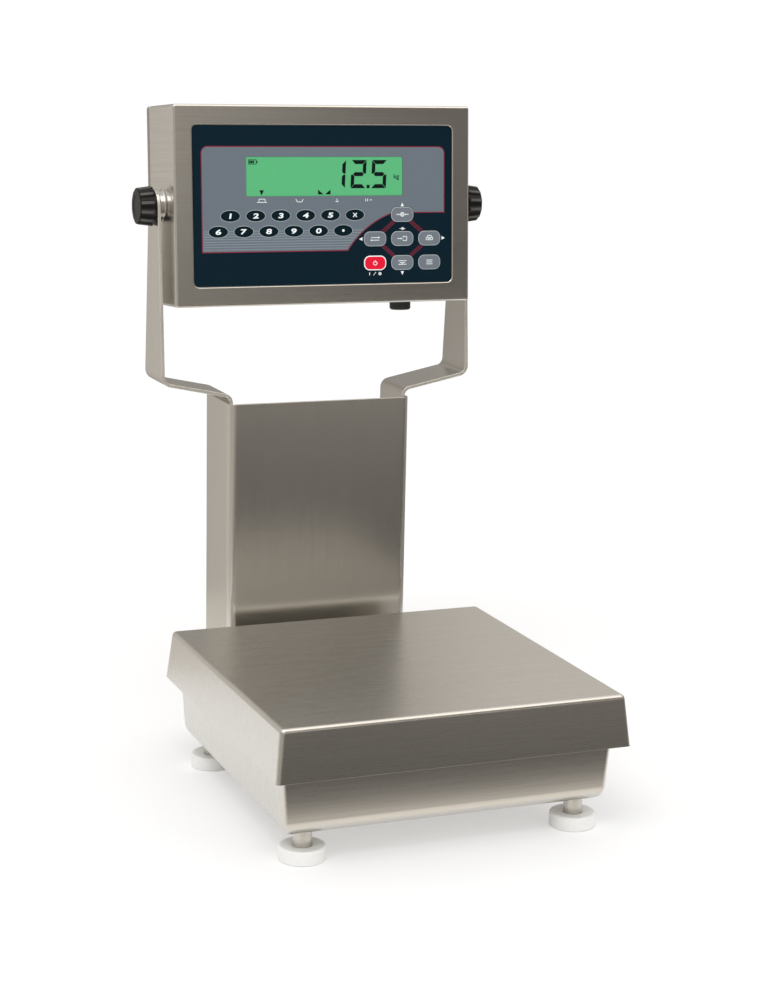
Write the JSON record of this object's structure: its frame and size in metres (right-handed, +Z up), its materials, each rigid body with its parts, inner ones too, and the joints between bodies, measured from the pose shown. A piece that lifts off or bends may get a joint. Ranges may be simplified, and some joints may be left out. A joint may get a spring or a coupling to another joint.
{
  "type": "bench scale",
  "caption": "Stainless-steel bench scale: square lift-off platter on a levelled base pan, rear column, and a tilting indicator box between two bent arms.",
  "frame": {"origin": "on the floor under the middle of the overall box, at the level of the pad undersides", "axes": "+Z up; the platter's front and the indicator face -Y; +X to the right as seen from the front"},
  "size_m": [0.283, 0.3633, 0.5016],
  "materials": {
    "stainless": "brushed grain",
    "aluminium": "milled",
    "nylon": "satin moulded",
    "rubber": "matt",
    "panel": "fine matt film",
    "dark_key": "fine matt film",
    "grey_key": "fine matt film",
    "red_key": "fine matt film",
    "display": "lit liquid crystal",
    "board": "solder mask",
    "knob": "moulded"
  },
  "bodies": {
    "base": {"base_pan": "stainless", "cell_lower_spacer": "stainless", "load_cell": "aluminium", "column": "stainless", "column_bracket": "stainless", "arm_left": "stainless", "arm_right": "stainless", "pan_bolt_left": "stainless", "pan_bolt_right": "stainless", "column_bolt_left": "stainless", "column_bolt_right": "stainless"},
    "weigh_frame": {"cell_upper_spacer": "stainless", "platter_frame": "stainless", "button_front_left": "rubber", "button_front_right": "rubber", "button_rear_left": "rubber", "button_rear_right": "rubber"},
    "platter": {"platter": "stainless"},
    "foot_pad_front_left": {"foot_pad_front_left": "nylon"},
    "foot_stem_front_left": {"foot_stem_front_left": "stainless"},
    "foot_pad_front_right": {"foot_pad_front_right": "nylon"},
    "foot_stem_front_right": {"foot_stem_front_right": "stainless"},
    "foot_pad_rear_left": {"foot_pad_rear_left": "nylon"},
    "foot_stem_rear_left": {"foot_stem_rear_left": "stainless"},
    "foot_pad_rear_right": {"foot_pad_rear_right": "nylon"},
    "foot_stem_rear_right": {"foot_stem_rear_right": "stainless"},
    "indicator": {"enclosure": "stainless", "key_panel": "panel", "display_module": "display", "circuit_board": "board", "back_gasket": "rubber", "back_plate": "stainless", "back_screw_top_left": "stainless", "back_screw_top_right": "stainless", "back_screw_bottom_left": "stainless", "back_screw_bottom_right": "stainless", "cord_grip": "knob"},
    "washer_left": {"knob_washer_left": "stainless"},
    "knob_left": {"knob_left": "knob"},
    "washer_right": {"knob_washer_right": "stainless"},
    "knob_right": {"knob_right": "knob"},
    "key_1": {"key_1": "dark_key"},
    "key_2": {"key_2": "dark_key"},
    "key_3": {"key_3": "dark_key"},
    "key_4": {"key_4": "dark_key"},
    "key_5": {"key_5": "dark_key"},
    "key_clear": {"key_clear": "dark_key"},
    "key_6": {"key_6": "dark_key"},
    "key_7": {"key_7": "dark_key"},
    "key_8": {"key_8": "dark_key"},
    "key_9": {"key_9": "dark_key"},
    "key_0": {"key_0": "dark_key"},
    "key_point": {"key_point": "dark_key"},
    "key_zero": {"key_zero": "grey_key"},
    "key_unit": {"key_unit": "grey_key"},
    "key_tare": {"key_tare": "grey_key"},
    "key_print": {"key_print": "grey_key"},
    "key_net": {"key_net": "grey_key"},
    "key_menu": {"key_menu": "grey_key"},
    "key_power": {"key_power": "red_key"}
  },
  "joints": [
    {"name": "weigh_deflection", "type": "slide", "parent": "base", "child": "weigh_frame", "axis": [0, 0, -1], "range_m": [0, 0.0005], "stiffness_N_per_m": 80000, "springref_m": -0.00028, "deforming": ["load_cell"]},
    {"name": "platter_lift", "type": "slide", "parent": "weigh_frame", "child": "platter", "axis": [0, 0, 1], "range_m": [0, 0.08]},
    {"name": "foot_height_front_left", "type": "slide", "parent": "base", "child": "foot_pad_front_left", "axis": [0, 0, 1], "range_m": [-0.006, 0.006]},
    {"name": "foot_turn_front_left", "type": "hinge", "parent": "foot_pad_front_left", "child": "foot_stem_front_left", "pos_m": [-0.1033, -0.1515, 0.02], "axis": [0, 0, 1], "range_deg": [-1085, 1085]},
    {"name": "foot_height_front_right", "type": "slide", "parent": "base", "child": "foot_pad_front_right", "axis": [0, 0, 1], "range_m": [-0.006, 0.006]},
    {"name": "foot_turn_front_right", "type": "hinge", "parent": "foot_pad_front_right", "child": "foot_stem_front_right", "pos_m": [0.1033, -0.1515, 0.02], "axis": [0, 0, 1], "range_deg": [-1085, 1085]},
    {"name": "foot_height_rear_left", "type": "slide", "parent": "base", "child": "foot_pad_rear_left", "axis": [0, 0, 1], "range_m": [-0.006, 0.006]},
    {"name": "foot_turn_rear_left", "type": "hinge", "parent": "foot_pad_rear_left", "child": "foot_stem_rear_left", "pos_m": [-0.1033, 0.0554, 0.02], "axis": [0, 0, 1], "range_deg": [-1085, 1085]},
    {"name": "foot_height_rear_right", "type": "slide", "parent": "base", "child": "foot_pad_rear_right", "axis": [0, 0, 1], "range_m": [-0.006, 0.006]},
    {"name": "foot_turn_rear_right", "type": "hinge", "parent": "foot_pad_rear_right", "child": "foot_stem_rear_right", "pos_m": [0.1033, 0.0554, 0.02], "axis": [0, 0, 1], "range_deg": [-1085, 1085]},
    {"name": "indicator_tilt", "type": "hinge", "parent": "base", "child": "indicator", "pos_m": [0, 0.1346, 0.4238], "axis": [-1, 0, 0], "range_deg": [-20, 85]},
    {"name": "knob_travel_left", "type": "slide", "parent": "indicator", "child": "washer_left", "axis": [-1, 0, 0], "range_m": [0, 0.0041]},
    {"name": "knob_turn_left", "type": "hinge", "parent": "washer_left", "child": "knob_left", "pos_m": [-0.13, 0.1346, 0.4238], "axis": [-1, 0, 0], "range_deg": [0, 1440]},
    {"name": "knob_travel_right", "type": "slide", "parent": "indicator", "child": "washer_right", "axis": [1, 0, 0], "range_m": [0, 0.0041]},
    {"name": "knob_turn_right", "type": "hinge", "parent": "washer_right", "child": "knob_right", "pos_m": [0.13, 0.1346, 0.4238], "axis": [1, 0, 0], "range_deg": [0, 1440]},
    {"name": "press_1", "type": "slide", "parent": "indicator", "child": "key_1", "axis": [0, 0.998, -0.0628], "range_m": [0, 0.0004], "stiffness_N_per_m": 4000, "springref_m": -0.0002},
    {"name": "press_2", "type": "slide", "parent": "indicator", "child": "key_2", "axis": [0, 0.998, -0.0628], "range_m": [0, 0.0004], "stiffness_N_per_m": 4000, "springref_m": -0.0002},
    {"name": "press_3", "type": "slide", "parent": "indicator", "child": "key_3", "axis": [0, 0.998, -0.0628], "range_m": [0, 0.0004], "stiffness_N_per_m": 4000, "springref_m": -0.0002},
    {"name": "press_4", "type": "slide", "parent": "indicator", "child": "key_4", "axis": [0, 0.998, -0.0628], "range_m": [0, 0.0004], "stiffness_N_per_m": 4000, "springref_m": -0.0002},
    {"name": "press_5", "type": "slide", "parent": "indicator", "child": "key_5", "axis": [0, 0.998, -0.0628], "range_m": [0, 0.0004], "stiffness_N_per_m": 4000, "springref_m": -0.0002},
    {"name": "press_clear", "type": "slide", "parent": "indicator", "child": "key_clear", "axis": [0, 0.998, -0.0628], "range_m": [0, 0.0004], "stiffness_N_per_m": 4000, "springref_m": -0.0002},
    {"name": "press_6", "type": "slide", "parent": "indicator", "child": "key_6", "axis": [0, 0.998, -0.0628], "range_m": [0, 0.0004], "stiffness_N_per_m": 4000, "springref_m": -0.0002},
    {"name": "press_7", "type": "slide", "parent": "indicator", "child": "key_7", "axis": [0, 0.998, -0.0628], "range_m": [0, 0.0004], "stiffness_N_per_m": 4000, "springref_m": -0.0002},
    {"name": "press_8", "type": "slide", "parent": "indicator", "child": "key_8", "axis": [0, 0.998, -0.0628], "range_m": [0, 0.0004], "stiffness_N_per_m": 4000, "springref_m": -0.0002},
    {"name": "press_9", "type": "slide", "parent": "indicator", "child": "key_9", "axis": [0, 0.998, -0.0628], "range_m": [0, 0.0004], "stiffness_N_per_m": 4000, "springref_m": -0.0002},
    {"name": "press_0", "type": "slide", "parent": "indicator", "child": "key_0", "axis": [0, 0.998, -0.0628], "range_m": [0, 0.0004], "stiffness_N_per_m": 4000, "springref_m": -0.0002},
    {"name": "press_point", "type": "slide", "parent": "indicator", "child": "key_point", "axis": [0, 0.998, -0.0628], "range_m": [0, 0.0004], "stiffness_N_per_m": 4000, "springref_m": -0.0002},
    {"name": "press_zero", "type": "slide", "parent": "indicator", "child": "key_zero", "axis": [0, 0.998, -0.0628], "range_m": [0, 0.0004], "stiffness_N_per_m": 4000, "springref_m": -0.0002},
    {"name": "press_unit", "type": "slide", "parent": "indicator", "child": "key_unit", "axis": [0, 0.998, -0.0628], "range_m": [0, 0.0004], "stiffness_N_per_m": 4000, "springref_m": -0.0002},
    {"name": "press_tare", "type": "slide", "parent": "indicator", "child": "key_tare", "axis": [0, 0.998, -0.0628], "range_m": [0, 0.0004], "stiffness_N_per_m": 4000, "springref_m": -0.0002},
    {"name": "press_print", "type": "slide", "parent": "indicator", "child": "key_print", "axis": [0, 0.998, -0.0628], "range_m": [0, 0.0004], "stiffness_N_per_m": 4000, "springref_m": -0.0002},
    {"name": "press_net", "type": "slide", "parent": "indicator", "child": "key_net", "axis": [0, 0.998, -0.0628], "range_m": [0, 0.0004], "stiffness_N_per_m": 4000, "springref_m": -0.0002},
    {"name": "press_menu", "type": "slide", "parent": "indicator", "child": "key_menu", "axis": [0, 0.998, -0.0628], "range_m": [0, 0.0004], "stiffness_N_per_m": 4000, "springref_m": -0.0002},
    {"name": "press_power", "type": "slide", "parent": "indicator", "child": "key_power", "axis": [0, 0.998, -0.0628], "range_m": [0, 0.0004], "stiffness_N_per_m": 4000, "springref_m": -0.0002}
  ],
  "couplings": [
    {"joint": "foot_turn_front_left", "follows": "foot_height_front_left", "rad_per_m": 3141.6},
    {"joint": "foot_turn_front_right", "follows": "foot_height_front_right", "rad_per_m": 3141.6},
    {"joint": "foot_turn_rear_left", "follows": "foot_height_rear_left", "rad_per_m": 3141.6},
    {"joint": "foot_turn_rear_right", "follows": "foot_height_rear_right", "rad_per_m": 3141.6},
    {"joint": "knob_travel_left", "follows": "knob_turn_left", "m_per_rad": 0.00015915},
    {"joint": "knob_travel_right", "follows": "knob_turn_right", "m_per_rad": 0.00015915}
  ]
}
